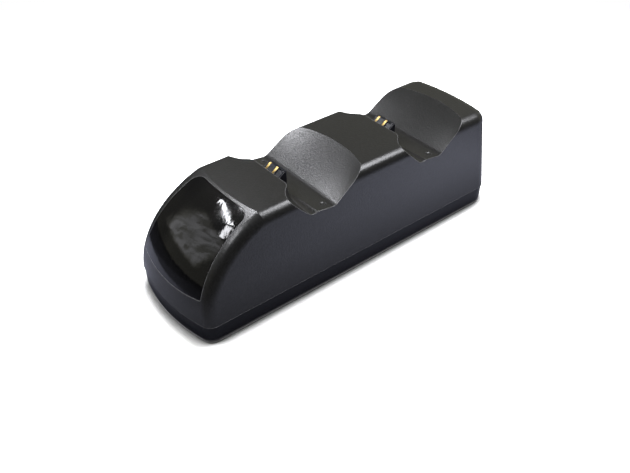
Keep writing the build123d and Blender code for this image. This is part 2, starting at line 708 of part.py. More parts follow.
outer = housing(0)
hollow = housing(WALL)
deep_hollow = housing(WALL + WINDOW_FLANGE_THICK)
nodes = {
    "upper_shell": make_shell(outer, hollow),
    "base_cover": make_base(),
    "front_window": make_window(outer, hollow, deep_hollow),
    "main_board": make_main_board(),
    "usb_socket": make_usb_socket(),
    "usb_tongue": make_usb_tongue(),
    "power_inductor": make_inductor(POWER_Y - COIL_SIDE),
    "input_capacitor": make_capacitor(POWER_Y + COIL_SIDE),
    "charge_led_front": make_led(-LED_X),
    "charge_led_rear": make_led(LED_X),
}
for place, ridge in RIDGES.items():
    nodes[f"contact_block_{place}"] = make_contact_block(ridge)
    nodes[f"contact_board_{place}"] = make_contact_board(ridge)
    nodes[f"contact_lead_{place}"] = make_lead(ridge)
    nodes[f"charge_chip_{place}"] = make_chip(ridge + CHIP_FROM_RIDGE)
    for spot, x in zip(("outer", "middle"), LEAF_X):
        nodes[f"contact_leaf_{place}_{spot}"] = make_leaf(ridge, x)
for spot, (x, y) in FOOT_SPOTS.items():
    nodes[f"rubber_foot_{spot}"] = make_foot(x, y)
case_grip = CASE_POST_TOP - CASE_HEAD_SEAT + CASE_GRIP
nodes["case_screws"] = screw_set(CASE_SCREW_SPOTS, CASE_HEAD_SEAT, case_grip, CASE_SCREW, True)
board_grip = BOARD_THICK + BOARD_GRIP - PILOT_ROOM
nodes["board_screws"] = screw_set(BOARD_SCREW_SPOTS, BOARD_TOP, board_grip, BOARD_SCREW, False)
contact_grip = CONTACT_BOARD_THICK + FLANGE_THICK + CONTACT_SCREW_GRIP - PILOT_ROOM
contact_seat = CONTACT_BOARD_TOP - CONTACT_BOARD_THICK
nodes["contact_screws"] = screw_set(CONTACT_SCREW_SPOTS, contact_seat, contact_grip, BOARD_SCREW, True)

os.makedirs("parts", exist_ok=True)
for name, shape in nodes.items():
    export_step(shape, os.path.join("parts", f"{name}.step"))
    print(name, len(shape.solids()), round(shape.volume, 1), shape.is_valid)
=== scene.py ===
"""Studio scene of a two-bay charging dock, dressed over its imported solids.

Everything is in metres in the frame of the solids: +Z is up, the nose points to -Y and the dock stands
on Z = 0.
"""

import logging
from dataclasses import dataclass
from enum import Enum
from math import cos, radians, sin
from typing import Any

import bpy
import numpy as np
from mathutils import Matrix, Vector


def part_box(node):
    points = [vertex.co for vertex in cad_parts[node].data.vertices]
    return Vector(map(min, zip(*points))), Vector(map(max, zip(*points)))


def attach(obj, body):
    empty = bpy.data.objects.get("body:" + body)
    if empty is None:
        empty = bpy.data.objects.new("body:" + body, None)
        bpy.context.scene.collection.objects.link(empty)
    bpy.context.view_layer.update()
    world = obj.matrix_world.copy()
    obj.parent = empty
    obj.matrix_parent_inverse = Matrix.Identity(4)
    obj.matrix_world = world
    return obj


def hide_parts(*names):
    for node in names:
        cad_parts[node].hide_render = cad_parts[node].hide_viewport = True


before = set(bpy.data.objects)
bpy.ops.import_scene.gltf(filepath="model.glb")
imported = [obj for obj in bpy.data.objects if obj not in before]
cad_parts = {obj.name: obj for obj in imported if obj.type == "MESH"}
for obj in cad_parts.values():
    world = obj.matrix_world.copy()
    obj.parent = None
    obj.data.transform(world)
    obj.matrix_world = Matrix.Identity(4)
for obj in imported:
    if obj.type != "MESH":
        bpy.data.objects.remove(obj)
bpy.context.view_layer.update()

LOG = logging.getLogger("charging_dock")
MM = 0.001
BODY = "root"

Colour = tuple[float, float, float]
Point = tuple[float, float, float]


class Slot(Enum):
    """Material slot names of the record."""

    GILT = "gilded_contact"
    RUBBER = "foot_rubber"


# Shader node helpers


@dataclass
class Graph:
    """A node tree with short calls to add and wire nodes.

    Attributes:
        tree: The node tree that is filled.
    """

    tree: bpy.types.NodeTree

    def add(self, kind: str, **settings: Any) -> bpy.types.Node:
        """Add a node and set its properties.

        Args:
            kind: Blender's identifier of the node type.
            **settings: Properties of the node.

        Returns:
            The new node.
        """
        node = self.tree.nodes.new(kind)
        for name, value in settings.items():
            setattr(node, name, value)
        return node

    def feed(self, socket: bpy.types.NodeSocket, value: Any) -> None:
        """Wire another socket into `socket`, or set it to a plain value."""
        if isinstance(value, bpy.types.NodeSocket):
            self.tree.links.new(value, socket)
        else:
            socket.default_value = value

    def math(self, operation: str, *values: Any) -> bpy.types.NodeSocket:
        """Combine values or sockets with a Math node and return its result."""
        node = self.add("ShaderNodeMath", operation=operation)
        for socket, value in zip(node.inputs, values):
            self.feed(socket, value)
        return node.outputs[0]

    def span(
        self, value: Any, low: float, high: float, to_low: float, to_high: float
    ) -> bpy.types.NodeSocket:
        """Map a value smoothly from one range to another, held at both ends."""
        node = self.add("ShaderNodeMapRange", interpolation_type="SMOOTHSTEP")
        for socket, part in zip(node.inputs, (value, low, high, to_low, to_high)):
            self.feed(socket, part)
        return node.outputs[0]

    def product(self, *values: Any) -> bpy.types.NodeSocket:
        """Multiply values or sockets one after another."""
        result = values[0]
        for value in values[1:]:
            result = self.math("MULTIPLY", result, value)
        return result

    def dot(self, vector: Any, way: Point) -> bpy.types.NodeSocket:
        """Return the share of a vector along a direction."""
        node = self.add("ShaderNodeVectorMath", operation="DOT_PRODUCT")
        self.feed(node.inputs[0], vector)
        node.inputs[1].default_value = way
        return node.outputs["Value"]

    def noise(
        self, vector: Any, scale: Any, detail: float = 2.0, warp: float = 0.0
    ) -> bpy.types.NodeSocket:
        """Return the value of a noise texture."""
        node = self.add("ShaderNodeTexNoise")
        self.feed(node.inputs["Vector"], vector)
        self.feed(node.inputs["Scale"], scale)
        node.inputs["Detail"].default_value = detail
        node.inputs["Distortion"].default_value = warp
        return node.outputs["Fac"]

    def blend(self, factor: Any, first: Any, second: Any) -> bpy.types.NodeSocket:
        """Mix two colours and return the result."""
        node = self.add("ShaderNodeMix", data_type="RGBA")
        self.feed(node.inputs[0], factor)
        self.feed(node.inputs[6], first)
        self.feed(node.inputs[7], second)
        return node.outputs[2]

    def stretch(self, vector: Any, scale: Point, turn: Point = (0.0, 0.0, 0.0)) -> bpy.types.NodeSocket:
        """Turn and stretch a coordinate with a Mapping node."""
        node = self.add("ShaderNodeMapping")
        self.feed(node.inputs["Vector"], vector)
        node.inputs["Rotation"].default_value = turn
        node.inputs["Scale"].default_value = scale
        return node.outputs[0]


def rgba(colour: Colour) -> tuple[float, float, float, float]:
    """Give a colour its alpha."""
    return (*colour, 1.0)


class Effects:
    """Node groups that several finishes share, each built once.

    Attributes:
        PIT_SHARE: Share of the pits in the height of the mould texture. The finer noise has the rest.
        FINE_SCALE: How much finer that noise is than the pits.
        WIPE_STRETCH: Stretch of the smears along their run.
        WIPE_TURN: Turn of their run about Z.
        CLOUD_SCALE: Scale of the clouds against that of the smears.
        BEVEL_SAMPLES: Samples of the rounded edges.
        EDGE_START: Likeness of the rounded and the plain normal where an edge starts.
        EDGE_FULL: Likeness where it is full.
    """

    PIT_SHARE = 0.6
    FINE_SCALE = 2.3
    WIPE_STRETCH = 0.18
    WIPE_TURN = radians(25)
    CLOUD_SCALE = 0.35
    BEVEL_SAMPLES = 6
    EDGE_START = 0.98
    EDGE_FULL = 0.92

    def __init__(self) -> None:
        """Build all groups."""
        self.grain = self._moulded_grain()
        self.marks = self._handling_marks()
        self.edges = self._edge_catch()

    @staticmethod
    def _group(name: str, inputs: dict[str, str], outputs: dict[str, str]) -> tuple[Graph, Any, Any]:
        """Start a group with named sockets.

        Args:
            name: Name of the group.
            inputs: Socket type by input name.
            outputs: Socket type by output name.

        Returns:
            The group's graph, the node with its inputs and the node with its outputs.
        """
        tree = bpy.data.node_groups.new(name, "ShaderNodeTree")
        for label, kind in inputs.items():
            tree.interface.new_socket(label, in_out="INPUT", socket_type=kind)
        for label, kind in outputs.items():
            tree.interface.new_socket(label, in_out="OUTPUT", socket_type=kind)
        graph = Graph(tree)
        return graph, graph.add("NodeGroupInput"), graph.add("NodeGroupOutput")

    def _moulded_grain(self) -> bpy.types.NodeTree:
        """Spark-eroded mould texture: rounded pits of one size over a finer noise."""
        graph, source, sink = self._group(
            "moulded_grain",
            {"Vector": "NodeSocketVector", "Scale": "NodeSocketFloat"},
            {"Height": "NodeSocketFloat", "Pits": "NodeSocketFloat"},
        )
        vector, scale = source.outputs[0], source.outputs[1]
        cells = graph.add("ShaderNodeTexVoronoi", feature="SMOOTH_F1")
        graph.feed(cells.inputs["Vector"], vector)
        graph.feed(cells.inputs["Scale"], scale)
        fine = graph.noise(vector, graph.math("MULTIPLY", scale, self.FINE_SCALE), detail=3.0)
        pits = graph.span(cells.outputs["Distance"], 0.1, 0.7, 0.0, 1.0)
        coarse = graph.math("MULTIPLY", pits, self.PIT_SHARE)
        height = graph.math("MULTIPLY_ADD", fine, 1.0 - self.PIT_SHARE, coarse)
        graph.feed(sink.inputs["Height"], height)
        graph.feed(sink.inputs["Pits"], pits)
        return graph.tree

    def _handling_marks(self) -> bpy.types.NodeTree:
        """Faint wiped smears and cloudiness, as a mask and a slow tone."""
        graph, source, sink = self._group(
            "handling_marks",
            {"Vector": "NodeSocketVector", "Scale": "NodeSocketFloat"},
            {"Smear": "NodeSocketFloat", "Cloud": "NodeSocketFloat"},
        )
        vector, scale = source.outputs[0], source.outputs[1]
        wiped = graph.stretch(vector, (1.0, self.WIPE_STRETCH, 1.0), (0.0, 0.0, self.WIPE_TURN))
        smear = graph.span(graph.noise(wiped, scale, 4.0, 0.6), 0.42, 0.72, 0.0, 1.0)
        cloud = graph.noise(vector, graph.math("MULTIPLY", scale, self.CLOUD_SCALE), 2.0)
        graph.feed(sink.inputs["Smear"], smear)
        graph.feed(sink.inputs["Cloud"], cloud)
        return graph.tree

    def _edge_catch(self) -> bpy.types.NodeTree:
        """Rounded normal at sharp edges, and a mask that is 1 on them."""
        graph, source, sink = self._group(
            "edge_catch",
            {"Radius": "NodeSocketFloat"},
            {"Normal": "NodeSocketVector", "Edge": "NodeSocketFloat"},
        )
        round_off = graph.add("ShaderNodeBevel", samples=self.BEVEL_SAMPLES)
        graph.feed(round_off.inputs["Radius"], source.outputs[0])
        plain = graph.add("ShaderNodeNewGeometry")
        likeness = graph.add("ShaderNodeVectorMath", operation="DOT_PRODUCT")
        graph.feed(likeness.inputs[0], round_off.outputs[0])
        graph.feed(likeness.inputs[1], plain.outputs["Normal"])
        graph.feed(sink.inputs["Normal"], round_off.outputs[0])
        edge = graph.span(likeness.outputs["Value"], self.EDGE_START, self.EDGE_FULL, 0.0, 1.0)
        graph.feed(sink.inputs["Edge"], edge)
        return graph.tree


EFFECTS = Effects()


# Finishes


class Finish:
    """A finish that makes its own material."""

    def start(self, name: str) -> tuple[Graph, bpy.types.Material, Any, Any]:
        """Start a material.

        Args:
            name: Name of the material.

        Returns:
            Its graph, the material, its Principled shader and the Object coordinate.
        """
        material = bpy.data.materials.new(name)
        material.use_nodes = True
        graph = Graph(material.node_tree)
        shader = next(n for n in graph.tree.nodes if n.type == "BSDF_PRINCIPLED")
        return graph, material, shader, graph.add("ShaderNodeTexCoord").outputs["Object"]

    @staticmethod
    def effect(graph: Graph, group: bpy.types.NodeTree, **inputs: Any) -> Any:
        """Place a shared effect in a material with its own values and return its outputs."""
        node = graph.add("ShaderNodeGroup", node_tree=group)
        for name, value in inputs.items():
            graph.feed(node.inputs[name], value)
        return node.outputs

    def material(self, name: str) -> bpy.types.Material:
        """Build the material."""
        raise NotImplementedError


@dataclass(frozen=True)
class MouldedPlastic(Finish):
    """Injection-moulded plastic with a mould texture, faint marks, polished edges and a highlight painted
    along its edges.

    Attributes:
        colour: Colour of the resin.
        worn_and_edge_highlight: Colour of the highlight painted along its edges, which the pits also take
            a little of.
        roughness: Roughness between the marks.
        specular: Specular level.
        grain: Size of the mould texture.
        depth: Depth of the mould texture.
        edge: Radius of its edges.
        marks: Number of marks in a metre.
        cloudy: Brightness of the clouds against the resin.
        pit_wear: How far the pits show that colour.
        edge_highlight_share: How far the edges show it, as a painted highlight.
        smear: Roughness that the marks add.
        polish: Roughness that the edges lose.
    """

    colour: Colour
    worn_and_edge_highlight: Colour
    roughness: float = 0.32
    specular: float = 0.5
    grain: float = 0.55 * MM
    depth: float = 0.024 * MM
    edge: float = 0.5 * MM
    marks: float = 70.0
    cloudy: float = 1.18
    pit_wear: float = 0.02
    edge_highlight_share: float = 0.8
    smear: float = 0.03
    polish: float = 0.06

    def material(self, name: str) -> bpy.types.Material:
        """Build the material."""
        graph, material, shader, place = self.start(name)
        grain = self.effect(graph, EFFECTS.grain, Vector=place, Scale=1.0 / self.grain)
        marks = self.effect(graph, EFFECTS.marks, Vector=place, Scale=self.marks)
        edges = self.effect(graph, EFFECTS.edges, Radius=self.edge)
        cloudy = tuple(self.cloudy * part for part in self.colour)
        tone = graph.blend(marks["Cloud"], rgba(self.colour), rgba(cloudy))
        pitted = graph.blend(graph.math("MULTIPLY", grain["Pits"], self.pit_wear), tone, rgba(self.worn_and_edge_highlight))
        # Painted highlight: the edges are made lighter in colour to stand in for the light they catch
        rubbed = graph.math("MULTIPLY", edges["Edge"], self.edge_highlight_share)
        graph.feed(shader.inputs["Base Color"], graph.blend(rubbed, pitted, rgba(self.worn_and_edge_highlight)))
        smear = graph.math("MULTIPLY", marks["Smear"], self.smear)
        polish = graph.math("MULTIPLY", edges["Edge"], -self.polish)
        rough = graph.math("ADD", graph.math("ADD", smear, polish), self.roughness)
        graph.feed(shader.inputs["Roughness"], rough)
        bump = graph.add("ShaderNodeBump")
        bump.inputs["Distance"].default_value = self.depth
        graph.feed(bump.inputs["Height"], grain["Height"])
        graph.feed(bump.inputs["Normal"], edges["Normal"])
        graph.feed(shader.inputs["Normal"], bump.outputs[0])
        shader.inputs["Specular IOR Level"].default_value = self.specular
        return material


@dataclass(frozen=True)
class PolishedLens(Finish):
    """Smoked, polished plastic with a slightly rippled face and wiped haze.

    Attributes:
        colour: Colour of the resin.
        roughness: Roughness of the clean face.
        haze: Roughness that the wiped marks add.
        ripple: Size of the ripples.
        swing: Height of the ripples.
        edge: Radius of its edges.
        marks: Number of wiped marks in a metre.
        dust: Number of dust specks in a metre.
        dust_light: Brightness of the specks against the resin.
        index: Index of refraction.
    """

    colour: Colour
    roughness: float = 0.05
    haze: float = 0.06
    ripple: float = 5.0 * MM
    swing: float = 0.045 * MM
    edge: float = 0.3 * MM
    marks: float = 110.0
    dust: float = 2600.0
    dust_light: float = 6.0
    index: float = 1.49

    def material(self, name: str) -> bpy.types.Material:
        """Build the material."""
        graph, material, shader, place = self.start(name)
        marks = self.effect(graph, EFFECTS.marks, Vector=place, Scale=self.marks)
        edges = self.effect(graph, EFFECTS.edges, Radius=self.edge)
        dust = graph.span(graph.noise(place, self.dust, 1.0), 0.74, 0.8, 0.0, 0.5)
        light = tuple(self.dust_light * part for part in self.colour)
        graph.feed(shader.inputs["Base Color"], graph.blend(dust, rgba(self.colour), rgba(light)))
        hazy = graph.math("MULTIPLY", marks["Smear"], self.haze)
        graph.feed(shader.inputs["Roughness"], graph.math("ADD", hazy, self.roughness))
        bump = graph.add("ShaderNodeBump")
        bump.inputs["Distance"].default_value = self.swing
        graph.feed(bump.inputs["Height"], graph.noise(place, 1.0 / self.ripple, 3.0, 0.8))
        graph.feed(bump.inputs["Normal"], edges["Normal"])
        graph.feed(shader.inputs["Normal"], bump.outputs[0])
        shader.inputs["IOR"].default_value = self.index
        return material


@dataclass(frozen=True)
class PlatedMetal(Finish):
    """Plated or bare sheet metal with fine rubbing marks.

    Attributes:
        colour: Colour of the metal.
        dull: Colour where it is tarnished.
        roughness: Roughness between the marks.
        rub: Size of the marks across their run.
        run: Stretch of the marks along their run.
        rubbing: Roughness that the marks add.
        depth: Depth of the marks.
        tarnish: Size of a mark against that of a tarnished spot.
    """

    colour: Colour
    dull: Colour
    roughness: float = 0.28
    rub: float = 0.3 * MM
    run: float = 0.08
    rubbing: float = 0.14
    depth: float = 0.01 * MM
    tarnish: float = 0.2

    def material(self, name: str) -> bpy.types.Material:
        """Build the material."""
        graph, material, shader, place = self.start(name)
        marks = self.effect(graph, EFFECTS.marks, Vector=place, Scale=self.tarnish / self.rub)
        run = graph.stretch(place, (1.0, self.run, self.run))
        rubbed = graph.noise(run, 1.0 / self.rub, 3.0)
        tone = graph.blend(marks["Smear"], rgba(self.colour), rgba(self.dull))
        graph.feed(shader.inputs["Base Color"], tone)
        rough = graph.math("MULTIPLY_ADD", rubbed, self.rubbing, self.roughness)
        graph.feed(shader.inputs["Roughness"], rough)
        bump = graph.add("ShaderNodeBump")
        bump.inputs["Distance"].default_value = self.depth
        graph.feed(bump.inputs["Height"], rubbed)
        graph.feed(shader.inputs["Normal"], bump.outputs[0])
        shader.inputs["Metallic"].default_value = 1.0
        return material


@dataclass(frozen=True)
class BoardLacquer(Finish):
    """Lacquered circuit board with a faint weave under the lacquer.

    Attributes:
        colour: Colour of the lacquer.
        weave: Pitch of the glass weave.
        bands: Scale of the wave pattern that gives one band in a metre.
        pale: Brightness of the weave's crossings against the lacquer.
        marks: Number of marks in a metre.
        roughness: Roughness between the marks.
        smear: Roughness that the marks add.
    """

    colour: Colour
    weave: float = 0.6 * MM
    bands: float = 0.3
    pale: float = 1.35
    marks: float = 90.0
    roughness: float = 0.25
    smear: float = 0.1

    def material(self, name: str) -> bpy.types.Material:
        """Build the material."""
        graph, material, shader, place = self.start(name)
        waves = []
        for direction in ("X", "Y"):
            wave = graph.add("ShaderNodeTexWave", bands_direction=direction)
            graph.feed(wave.inputs["Vector"], place)
            wave.inputs["Scale"].default_value = self.bands / self.weave
            waves.append(wave.outputs["Fac"])
        cloth = graph.math("MULTIPLY", *waves)
        marks = self.effect(graph, EFFECTS.marks, Vector=place, Scale=self.marks)
        pale = tuple(self.pale * part for part in self.colour)
        graph.feed(shader.inputs["Base Color"], graph.blend(cloth, rgba(self.colour), rgba(pale)))
        rough = graph.math("MULTIPLY_ADD", marks["Smear"], self.smear, self.roughness)
        graph.feed(shader.inputs["Roughness"], rough)
        return material


@dataclass(frozen=True)
class ClearResin(Finish):
    """Clear cast resin with a cloudy heart.

    Attributes:
        colour: Colour of the resin.
        warm: Brightness of its heart against the resin.
        marks: Number of marks in a metre.
        roughness: Roughness between the marks.
        smear: Roughness that the marks add.
    """

    colour: Colour
    warm: float = 0.85
    marks: float = 400.0
    roughness: float = 0.08
    smear: float = 0.1

    def material(self, name: str) -> bpy.types.Material:
        """Build the material."""
        graph, material, shader, place = self.start(name)
        marks = self.effect(graph, EFFECTS.marks, Vector=place, Scale=self.marks)
        warm = tuple(self.warm * part for part in self.colour)
        tone = graph.blend(marks["Cloud"], rgba(self.colour), rgba(warm))
        graph.feed(shader.inputs["Base Color"], tone)
        rough = graph.math("MULTIPLY_ADD", marks["Smear"], self.smear, self.roughness)
        graph.feed(shader.inputs["Roughness"], rough)
        return material


# The second colour of each moulded finish is the highlight painted along its edges, which the pits take a
# little of
SHELL_BLACK = MouldedPlastic(
    (0.008, 0.008, 0.0081), (0.26, 0.26, 0.27), grain=0.8 * MM, depth=0.036 * MM
)
BASE_BLACK = MouldedPlastic((0.004, 0.004, 0.006), (0.03, 0.03, 0.04), specular=0.22, depth=0.012 * MM)
BLOCK_GREY = MouldedPlastic(
    (0.007, 0.008, 0.012),
    (0.09, 0.09, 0.10),
    specular=0.3,
    grain=0.3 * MM,
    depth=0.006 * MM,
    edge=0.12 * MM,
)
SMOKED_LENS = PolishedLens((0.004, 0.004, 0.0045))
GILT = PlatedMetal((0.90, 0.67, 0.27), (0.80, 0.58, 0.22), roughness=0.5)
PLATED_STEEL = PlatedMetal((0.60, 0.60, 0.60), (0.42, 0.42, 0.43))
BARE_CAN = PlatedMetal((0.75, 0.75, 0.76), (0.6, 0.6, 0.62), roughness=0.32)
GREEN_BOARD = BoardLacquer((0.03, 0.16, 0.08))
CHIP_BLACK = MouldedPlastic((0.02, 0.02, 0.02), (0.06, 0.06, 0.06), roughness=0.5, grain=0.2 * MM)
FERRITE_GREY = MouldedPlastic((0.10, 0.10, 0.10), (0.16, 0.16, 0.16), roughness=0.6, grain=0.15 * MM)
SHEATH_BLACK = MouldedPlastic((0.02, 0.02, 0.02), (0.05, 0.05, 0.05), roughness=0.45, grain=0.6 * MM)
FOOT_BLACK = MouldedPlastic(
    (0.015, 0.015, 0.015), (0.04, 0.04, 0.04), roughness=0.7, specular=0.25, grain=0.25 * MM
)
LAMP_RESIN = ClearResin((0.85, 0.85, 0.80))


# Surfaces


def grid_object(name: str, points: np.ndarray, caps: bool) -> bpy.types.Object:
    """Make an object from a grid of points that closes on itself along its second parameter.

    Args:
        name: Name of the piece.
        points: Array of rows by columns by 3. A row runs round the piece, anticlockwise seen from its
            last row.
        caps: Whether the first and last rows are closed with a face each.

    Returns:
        The new object, at the origin.
    """
    rows, columns = points.shape[:2]
    index = np.arange(rows * columns).reshape(rows, columns)
    after = np.roll(index, -1, axis=1)
    quads = np.stack([index[:-1], after[:-1], after[1:], index[1:]], axis=-1).reshape(-1, 4).tolist()
    ends = [index[0, ::-1].tolist(), index[-1].tolist()] if caps else []
    mesh = bpy.data.meshes.new(name)
    mesh.from_pydata(points.reshape(-1, 3).tolist(), [], quads + ends)
    mesh.polygons.foreach_set("use_smooth", [True] * len(quads) + [False] * len(ends))
    mesh.update()
    piece = bpy.data.objects.new(name, mesh)
    bpy.context.scene.collection.objects.link(piece)
    return piece


def superellipse(half_wide: float, half_thick: float, power: float, steps: int) -> np.ndarray:
    """Outline |x/a|^p + |y/b|^p = 1, a box with rounded edges.

    Args:
        half_wide: Half width a.
        half_thick: Half thickness b.
        power: Exponent p. The larger it is, the squarer the box.
        steps: Number of points.

    Returns:
        Array of steps by 2, anticlockwise.
    """
    turn = np.linspace(0.0, 2.0 * np.pi, steps, endpoint=False) + np.pi / steps
    across, up = np.cos(turn), np.sin(turn)
    return np.stack(
        [
            half_wide * np.sign(across) * np.abs(across) ** (2.0 / power),
            half_thick * np.sign(up) * np.abs(up) ** (2.0 / power),
        ],
        axis=1,
    )


def rounded_path(corners: np.ndarray, radius: float, steps: int) -> np.ndarray:
    """Polyline in a plane whose inner corners are replaced by tangent arcs.

    Each arc is a quadratic Bezier curve between the two points where it leaves the straight runs.

    Args:
        corners: Array of corners by 2.
        radius: Distance from a corner to the ends of its arc.
        steps: Points on each arc.

    Returns:
        Array of points by 2.
    """
    share = np.linspace(0.0, 1.0, steps)[:, None]
    parts = [corners[:1]]
    for before, corner, after in zip(corners[:-2], corners[1:-1], corners[2:]):
        start = corner + (before - corner) / np.linalg.norm(before - corner) * radius
        end = corner + (after - corner) / np.linalg.norm(after - corner) * radius
        parts.append((1 - share) ** 2 * start + 2 * share * (1 - share) * corner + share**2 * end)
    parts.append(corners[-1:])
    return np.concatenate(parts)


def swept_strip(path: np.ndarray, section: np.ndarray, middle_x: float) -> np.ndarray:
    """Section carried along a path in the YZ plane, square to it.

    Args:
        path: Array of stations by 2, as Y and Z.
        section: Array of points by 2, as X and the distance along the path's normal.
        middle_x: X of the path.

    Returns:
        Array of stations by section points by 3.
    """
    run = np.gradient(path, axis=0)
    run /= np.linalg.norm(run, axis=1)[:, None]
    normal = np.stack([-run[:, 1], run[:, 0]], axis=1)
    place = path[:, None, :] + normal[:, None, :] * section[None, :, 1:]
    across = np.broadcast_to(middle_x + section[None, :, :1], place[..., :1].shape)
    return np.concatenate([across, place], axis=2)


# Sub-assemblies


def dress(node: str, material: bpy.types.Material) -> None:
    """Give a solid its finish."""
    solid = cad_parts[node]
    solid.data.materials.clear()
    solid.data.materials.append(material)
    LOG.info("dressed %s in %s", node, material.name)


def stand_in(piece: bpy.types.Object, node: str, material: bpy.types.Material) -> None:
    """Let a piece stand for a solid: it rides with the dock, takes the given material and the solid is
    hidden.
    """
    piece.data.materials.append(material)
    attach(piece, BODY)
    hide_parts(node)
    LOG.info("%s stands for %s", piece.name, node)


@dataclass
class Housing:
    """Upper shell, base tray and front window."""

    def build(self) -> None:
        """Dress the three mouldings."""
        dress("upper_shell", SHELL_BLACK.material("shell_black"))
        dress("base_cover", BASE_BLACK.material("base_black"))
        dress("front_window", SMOKED_LENS.material("smoked_lens"))


@dataclass
class ContactSet:
    """Contact blocks, leaves, boards and leads.

    Attributes:
        bays: Names of the two bays.
        spots: Names of the two leaves of a bay.
        slope: Slope of the face that the leaves lie on.
        flat: Length of a leaf's level part.
        thick: Thickness of a leaf.
        bend: Distance from a leaf's corner to the start of its bend.
        crown: How far the edges of a leaf lie below its middle.
        squareness: Exponent of a leaf's section.
        section_steps: Points round the section.
        bend_steps: Points on each bend.
    """

    bays: tuple[str, ...] = ("front", "rear")
    spots: tuple[str, ...] = ("outer", "middle")
    slope: float = radians(36.0)
    flat: float = 0.8 * MM
    thick: float = 0.35 * MM
    bend: float = 0.35 * MM
    crown: float = 0.08 * MM
    squareness: float = 5.0
    section_steps: int = 24
    bend_steps: int = 7

    def build(self) -> None:
        """Dress the blocks and boards and make the crowned leaves."""
        block = BLOCK_GREY.material("block_grey")
        board = GREEN_BOARD.material("contact_board_green")
        sheath = SHEATH_BLACK.material("lead_sheath")
        gilt = GILT.material("gilt")
        for bay in self.bays:
            dress(f"contact_block_{bay}", block)
            dress(f"contact_board_{bay}", board)
            dress(f"contact_lead_{bay}", sheath)
            for spot in self.spots:
                self._leaf(f"contact_leaf_{bay}_{spot}", gilt)

    def _leaf(self, node: str, gilt: bpy.types.Material) -> None:
        """Make one leaf: a crowned strip up the slope, over the top and down to its board.

        Args:
            node: The solid that the leaf stands for.
            gilt: Its material.
        """
        low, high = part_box(node)
        half = self.thick / 2
        top_y = high.y - self.flat
        run_y = top_y - low.y
        foot_z = high.z - run_y * np.tan(self.slope)
        corners = np.array(
            [
                (low.y + half * sin(self.slope), foot_z - half * cos(self.slope)),
                (top_y, high.z - half),
                (high.y - half, high.z - half),
                (high.y - half, low.z),
            ]
        )
        section = superellipse((high.x - low.x) / 2, half, self.squareness, self.section_steps)
        section[:, 1] -= self.crown * (section[:, 0] / section[:, 0].max()) ** 2 * (section[:, 1] > 0)
        path = rounded_path(corners, self.bend, self.bend_steps)
        points = swept_strip(path, section, (low.x + high.x) / 2)
        stand_in(grid_object(f"{node}_crowned", points, True), node, gilt)


@dataclass
class ChargeBoard:
    """Main board with the inlet, the power parts, the chips and the status lights."""

    def build(self) -> None:
        """Dress the board and what is on it."""
        dress("main_board", GREEN_BOARD.material("main_board_green"))
        steel = PLATED_STEEL.material("inlet_steel")
        dress("usb_socket", steel)
        dress("usb_tongue", CHIP_BLACK.material("inlet_tongue_black"))
        dress("power_inductor", FERRITE_GREY.material("ferrite_grey"))
        dress("input_capacitor", BARE_CAN.material("can_aluminium"))
        chip = CHIP_BLACK.material("chip_black")
        lamp = LAMP_RESIN.material("lamp_resin")
        for place in ("front", "rear"):
            dress(f"charge_chip_{place}", chip)
            dress(f"charge_led_{place}", lamp)


@dataclass
class Fastenings:
    """Screws and rubber feet.

    Attributes:
        corners: Names of the four feet.
        grooves: Grip rings on the sole of a foot.
        groove_deep: Depth of the grooves between them.
        brim: Radius at the rim of the sole.
        hub: Radius of the flat middle, as a share of the foot's.
        sole_steps: Points across the sole.
        rim_steps: Points on the rim.
        steps: Points round a foot.
    """

    corners: tuple[str, ...] = ("front_left", "front_right", "rear_left", "rear_right")
    grooves: int = 3
    groove_deep: float = 0.12 * MM
    brim: float = 0.25 * MM
    hub: float = 0.02
    sole_steps: int = 30
    rim_steps: int = 7
    steps: int = 72

    def build(self) -> None:
        """Dress the screws and make the ringed feet."""
        steel = PLATED_STEEL.material("screw_steel")
        for group in ("case_screws", "board_screws", "contact_screws"):
            dress(group, steel)
        rubber = FOOT_BLACK.material("foot_rubber")
        for corner in self.corners:
            self._foot(f"rubber_foot_{corner}", rubber)

    def _foot(self, node: str, rubber: bpy.types.Material) -> None:
        """Make one foot: a turned profile with a rounded rim and shallow grip rings.

        The sole's height is a raised cosine of the radius, so that its crests lie on the table.

        Args:
            node: The solid that the foot stands for.
            rubber: Its material.
        """
        low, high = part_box(node)
        middle = (low + high) / 2
        outer = (high.x - low.x) / 2
        sole_r = np.linspace(self.hub * outer, outer - self.brim, self.sole_steps)
        wave = 1.0 - np.cos(2.0 * np.pi * self.grooves * sole_r / (outer - self.brim))
        sole = np.stack([sole_r, low.z + wave * self.groove_deep / 2], axis=1)
        turn = np.linspace(-np.pi / 2, 0.0, self.rim_steps)
        rim = np.stack(
            [outer - self.brim + self.brim * np.cos(turn), low.z + self.brim + self.brim * np.sin(turn)],
            axis=1,
        )
        top = np.array([(outer, high.z), (self.hub * outer, high.z)])
        profile = np.concatenate([sole, rim[1:], top])
        angle = np.linspace(0.0, 2.0 * np.pi, self.steps, endpoint=False)
        points = np.stack(
            [
                middle.x + profile[:, :1] * np.cos(angle),
                middle.y + profile[:, :1] * np.sin(angle),
                np.broadcast_to(profile[:, 1:], (len(profile), self.steps)),
            ],
            axis=2,
        )
        stand_in(grid_object(f"{node}_ringed", points, True), node, rubber)


# Studio


